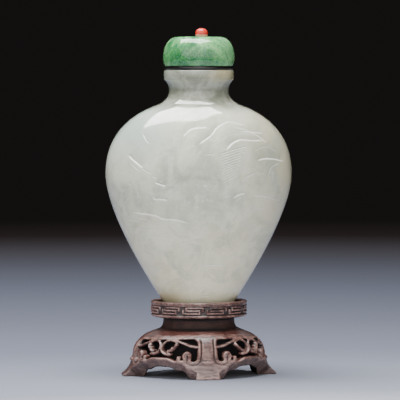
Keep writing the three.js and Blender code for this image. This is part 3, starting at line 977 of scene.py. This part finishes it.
def with_knuckles(wood, w, p, z):
    """The wood with a knuckle on each foot and a ring cut round its eye."""
    knuckle = np.sqrt(((w - 17.35) / 0.75) ** 2 + ((p - PANEL_HALF) / 1.5) ** 2 + ((z - 4.35) / 0.55) ** 2)
    wood = smooth_min(wood, (knuckle - 1) * 0.55, 0.3)
    eye = np.sqrt(((p - PANEL_HALF) / 0.62) ** 2 + ((z - 4.55) / 0.3) ** 2)
    return wood + 0.16 * np.exp(-(((eye - 1.0) / 0.28) ** 2)) * (w > 16)


def fret_ground(w, angle, z):
    """How far the ground between the raised lines of the key fret is sunk into the ring."""
    turn, reach = 2 * math.pi / FRETS, RING_HALF_WIDTH - 1.0
    around = ((angle % turn) - turn / 2) * reach
    fret = Table(fret_distance, (-3.2, 15.5), (3.2, 18.8), 0.04)
    strokes = fret.at(np.broadcast_to(around[:, :, None], z.shape), z)
    ground = smoothstep(-0.06, 0.16, strokes) * smoothstep(15.78, 15.9, z) * (1 - smoothstep(18.25, 18.37, z))
    return np.where((w > reach) & (z > 15.2), 0.4 * ground, 0.0)


def stand_distance(x, y, z):
    """The signed distance to the stand's wood on a grid, negative inside."""
    w, angle = oval_place(*np.meshgrid(x, y, indexing="ij"))
    w, z = np.broadcast_arrays(w[:, :, None], z[None, None, :])
    z = own_height(z, angle[:, :, None])
    folded = np.abs((angle % PANEL_TURN) - PANEL_TURN / 2) * PANEL_RADIUS
    p = np.broadcast_to(folded[:, :, None], w.shape)

    profile = Table(lambda g: polygon_distance(g, stand_profile()), (0, -1.5), (23, STAND_HEIGHT + 1.5), 0.06)
    wood = profile.soften(2).at(w, z)
    window = half_panel(lambda g: np.maximum(polygon_distance(g, window_outline()), -scroll_distance(g)))
    opening = window.soften().at(p, z)
    arch = half_panel(lambda g: polygon_distance(g, arch_outline()), -8).soften(2)
    low = z + np.clip(FRIEZE_HALF_WIDTH - w, -1.2, 3.0)
    below = arch.at(p, low)
    inwards = smoothstep(FRIEZE_HALF_WIDTH - 0.1, FRIEZE_HALF_WIDTH - 1.1, w)
    below = below + inwards * (arch.soften(90).at(p, low) - below)

    carved = with_knuckles(wood + panel_carving(w, p, z, opening, below), w, p, z)
    solid = smooth_max(carved, -opening - np.where(w < MIDDLE_HALF_WIDTH + 0.6, 9, 0), 0.28)
    solid = smooth_max(solid, -below, 0.2)
    rib = np.maximum(np.maximum(PANEL_HALF - p - 2.5, w - 15.1), np.maximum(MIDDLE_Z - z, z - 9.2))
    return np.minimum(solid, rib) + fret_ground(w, angle, z)


def blurred(values, rounds):
    """Values on a grid, averaged with their neighbours a number of times."""
    for _ in range(rounds):
        for axis in range(3):
            before, after = np.roll(values, 1, axis), np.roll(values, -1, axis)
            values = (before + 2 * values + after) / 4
    return values


def read_grid(values, places):
    """Values at places given in grid steps, blended from the eight corners around each."""
    cell = np.clip(places.astype(int), 0, np.array(values.shape) - 2)
    f = places - cell
    total = 0.0
    for corner in np.ndindex(2, 2, 2):
        share = np.prod(np.where(np.array(corner) == 1, f, 1 - f), axis=1)
        total = total + share * values[tuple((cell + corner).T)]
    return total


def surface_nets(values, low, step):
    """A closed quad mesh of the surface where the values on a grid change sign."""
    inside = values < 0
    shape = tuple(n - 1 for n in values.shape)
    corners = [(i, j, k) for i in (0, 1) for j in (0, 1) for k in (0, 1)]

    def corner(array, i, j, k):
        return array[i:i + shape[0], j:j + shape[1], k:k + shape[2]]

    total = sum(corner(inside, *c).astype(np.int8) for c in corners)
    cells = np.argwhere((total > 0) & (total < 8))
    index = np.full(shape, -1, np.int64)
    index[tuple(cells.T)] = np.arange(len(cells))
    at = {c: values[tuple((cells + c).T)] for c in corners}
    points, count = np.zeros((len(cells), 3)), np.zeros(len(cells))
    for a in corners:
        for b in corners:
            if a < b and sum(abs(p - q) for p, q in zip(a, b)) == 1:
                crosses = (at[a] < 0) != (at[b] < 0)
                t = np.where(crosses, at[a] / np.where(crosses, at[a] - at[b], 1.0), 0.0)
                spot = np.asarray(a) + t[:, None] * (np.asarray(b) - np.asarray(a))
                points += np.where(crosses[:, None], spot, 0.0)
                count += crosses
    vertices = (cells + points / count[:, None]) * step + low

    faces = []
    for axis in range(3):
        ahead = np.roll(inside, -1, axis=axis)
        change = inside != ahead
        change[tuple(slice(None) if k != axis else slice(-1, None) for k in range(3))] = False
        spots = np.argwhere(change)
        spots = spots[((spots > 0) & (spots < np.array(values.shape) - 1)).all(1)]
        b, c = np.eye(3, dtype=int)[(axis + 1) % 3], np.eye(3, dtype=int)[(axis + 2) % 3]
        ring = [index[tuple((spots - shift).T)] for shift in (b + c, c, 0 * b, b)]
        quads = np.stack(ring, 1)
        starts_inside = inside[tuple(spots.T)]
        faces += [quads[starts_inside], quads[~starts_inside][:, ::-1]]
    return vertices, np.vstack(faces)


def shade_behind_frieze(places):
    """1 on the unpolished wood behind and under the pierced frieze, which is painted in shade, 0 on what is
    polished.
    """
    w, angle = oval_place(places[:, 0], places[:, 1])
    inner = FRIEZE_HALF_WIDTH - WALL
    behind = 1 - smoothstep(inner - 0.3, inner + 0.5, w)
    return behind * (1 - smoothstep(8.9, 9.5, own_height(places[:, 2], angle)))


def drop_crumbs(piece):
    """Leaves only the largest connected part of a piece."""
    mesh = bmesh.new()
    mesh.from_mesh(piece.data)
    waiting, parts = set(mesh.verts), []
    while waiting:
        part, edge_of_part = set(), [waiting.pop()]
        while edge_of_part:
            vertex = edge_of_part.pop()
            part.add(vertex)
            near = {edge.other_vert(vertex) for edge in vertex.link_edges} & waiting
            waiting -= near
            edge_of_part.extend(near)
        parts.append(part)
    largest = max(parts, key=len)
    bmesh.ops.delete(mesh, geom=[v for v in mesh.verts if v not in largest], context="VERTS")
    mesh.to_mesh(piece.data)
    mesh.free()


def make_stand(material):
    margin = 3 * VOXEL
    low = np.array(stand_low) - margin
    axes = [np.arange(a, b + margin, VOXEL) for a, b in zip(low, stand_high)]
    values = stand_distance(*axes)
    vertices, faces = surface_nets(values, low, VOXEL)
    vertices[:, 2] = np.maximum(vertices[:, 2], 0.0)
    piece = make_mesh("stand_carved", vertices, faces)
    decimate = piece.modifiers.new("thin", "DECIMATE")
    decimate.ratio = min(1.0, STAND_TRIANGLES / (2 * len(faces)))
    apply_modifiers(piece)
    drop_crumbs(piece)
    spots = vertex_places(piece)
    places = (spots - low) / VOXEL
    store(piece, "edge", read_grid(blurred(values, EDGE_BLUR), places))
    # how deep each spot lies in a recess, for the painted shade
    recess = -read_grid(blurred(values, HOLLOW_BLUR), places)
    store(piece, "painted_hollow_shade", np.maximum(recess, shade_behind_frieze(spots)))
    return finish_piece(piece, "stand", material)


# ---- The set ----

BACKDROP = (0.0092, 0.0082, 0.0078)  # the near-black of the room and of the floor far away, where the floor has it as a faint painted glow


def floor():
    """A wide sheet of paper with a painted pool of light: palest just in front of the object and fading to black
    behind and around it, with a faint painted glow all over.
    """
    mesh = bpy.data.meshes.new("floor")
    half = 12.0
    mesh.from_pydata([(-half, -half, 0), (half, -half, 0), (half, half, 0), (-half, half, 0)], [], [(0, 1, 2, 3)])
    sheet = placed("floor", mesh)
    # the emission is a faint painted glow in the backdrop's colour
    m = Material(
        "floor_paper", Roughness=0.7, Specular_IOR_Level=0.0, Emission_Color=(*BACKDROP, 1), Emission_Strength=1.0
    )
    painted_pool_centre = (0.0, -0.22, 0.0)
    offset = m.node("ShaderNodeVectorMath", {"operation": "SUBTRACT"}, i0=m.place, i1=painted_pool_centre).outputs["Vector"]
    away = m.node("ShaderNodeVectorMath", {"operation": "LENGTH"}, i0=offset).outputs["Value"]
    # painted pool of light: the floor's colour fades from pale near the object to black
    m.set("Base Color", m.ramp(
        away, (0.0, (0.62, 0.63, 0.66)), (0.11, (0.47, 0.485, 0.52)), (0.18, (0.222, 0.236, 0.284)),
        (0.29, (0.127, 0.137, 0.175)), (0.39, (0.096, 0.104, 0.136)), (0.52, (0.075, 0.082, 0.108)),
        (0.62, (0.061, 0.066, 0.086)), (0.75, (0.041, 0.039, 0.047)), (0.86, (0.013, 0.009, 0.009)),
        (1.0, (0.0, 0.0, 0.0)),
    ))
    mesh.materials.append(m.material)


def area_light(name, place, target, size, power, colour=(1, 1, 1)):
    data = bpy.data.lights.new(name, "AREA")
    data.shape = "RECTANGLE"
    data.size, data.size_y = size
    data.energy = power
    data.color = colour
    light = placed(name, data)
    light.location = place
    light.rotation_euler = (Vector(target) - Vector(place)).to_track_quat("-Z", "Y").to_euler()
    return light


def lights():
    middle = (0, 0, 0.05)
    softbox = area_light("softbox_above", (-0.09, 0.018, 0.567), (-0.09, 0.018, 0), (0.56, 0.36), 10.4)
    softbox.rotation_euler = (0, 0, math.radians(-43))
    area_light("fill_front", (-0.8, -1.4, 1.5), middle, (4.2, 3.0), 37.0)
    area_light("fill_low", (-0.1, -1.4, 0.5), middle, (4.0, 1.6), 23.0, (1.0, 0.97, 0.92))
    area_light("fill_back", (0.3, 1.7, 1.3), middle, (2.0, 1.2), 3.5)
    world = bpy.data.worlds.new("studio")
    world.use_nodes = True
    background = world.node_tree.nodes["Background"]
    background.inputs["Color"].default_value = (*BACKDROP, 1)
    background.inputs["Strength"].default_value = 1.0
    bpy.context.scene.world = world


def camera():
    """A long lens from a little to the left and above, that sees the width across at the object."""
    azimuth = DRAWING_TURN
    distance, height = 0.8, 0.0809
    across, centre_height, aside = 0.103, 0.0451, 0.0003
    eye = Vector((math.sin(azimuth) * distance, -math.cos(azimuth) * distance, height))
    right = Vector((math.cos(azimuth), math.sin(azimuth), 0))
    target = Vector((0, 0, centre_height)) + right * aside
    data = bpy.data.cameras.new("camera")
    data.sensor_width = 36
    data.lens = data.sensor_width / 2 / math.tan(across / 2 / (target - eye).length)
    data.clip_start, data.clip_end = 0.05, 60
    cam = placed("camera", data)
    cam.location = eye
    cam.rotation_euler = (target - eye).to_track_quat("-Z", "Y").to_euler()
    bpy.context.scene.camera = cam


camera()
lights()
floor()
make_stand(dark_wood())
make_bottle(jade())
make_collar(black_horn())
make_cap(green_stone())
make_bead(coral())
